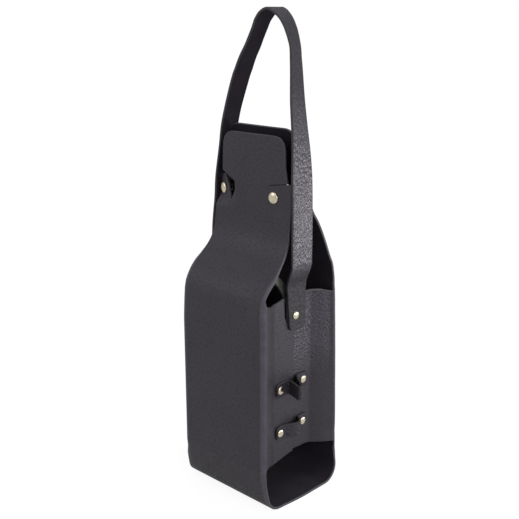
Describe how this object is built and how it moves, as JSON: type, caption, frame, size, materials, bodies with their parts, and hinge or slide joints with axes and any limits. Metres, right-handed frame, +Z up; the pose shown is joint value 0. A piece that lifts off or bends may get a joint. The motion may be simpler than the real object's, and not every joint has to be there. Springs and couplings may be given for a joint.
{
  "type": "bottle carrier",
  "caption": "Tall black leather bottle carrier with creased open sides, a riveted bail handle, a snapped neck and small corkscrew loops.",
  "frame": {"origin": "middle of the base on the surface it stands on", "axes": "+Z up, -Y towards the front panel, +X to the side that has the corkscrew loops"},
  "size_m": [0.0969, 0.0816, 0.374],
  "materials": {
    "leather": "satin",
    "leather_strap": "pebbled satin",
    "brass": "polished"
  },
  "bodies": {
    "carrier": {"main_panel": "leather", "left_stay": "leather", "right_stay": "leather", "upper_loop": "leather", "lower_loop": "leather", "handle_rivet_caps": "brass", "handle_rivet_posts": "brass", "loop_rivet_caps": "brass", "loop_rivet_posts": "brass", "side_rivet_caps": "brass", "side_rivet_posts": "brass", "snap_caps": "brass", "snap_sockets": "brass"},
    "handle": {"handle_strap": "leather_strap"},
    "back_flap": {"back_flap": "leather"},
    "left_ear": {"left_neck_ear": "leather", "left_snap_stud": "brass", "left_snap_post": "brass"},
    "right_ear": {"right_neck_ear": "leather", "right_snap_stud": "brass", "right_snap_post": "brass"}
  },
  "joints": [
    {"name": "handle_swing", "type": "hinge", "parent": "carrier", "child": "handle", "pos_m": [0, 0, 0.15], "axis": [1, 0, 0], "range_deg": [-15, 10]},
    {"name": "back_flap_hinge", "type": "hinge", "parent": "carrier", "child": "back_flap", "pos_m": [0, 0.0403, 0.172], "axis": [-1, 0, 0], "range_deg": [0, 55]},
    {"name": "left_ear_hinge", "type": "hinge", "parent": "back_flap", "child": "left_ear", "pos_m": [-0.0284, 0.00268, 0.239], "axis": [0, 0, -1], "range_deg": [0, 75]},
    {"name": "right_ear_hinge", "type": "hinge", "parent": "back_flap", "child": "right_ear", "pos_m": [0.01955, -0.0021, 0.239], "axis": [0, 0, 1], "range_deg": [0, 75]}
  ]
}
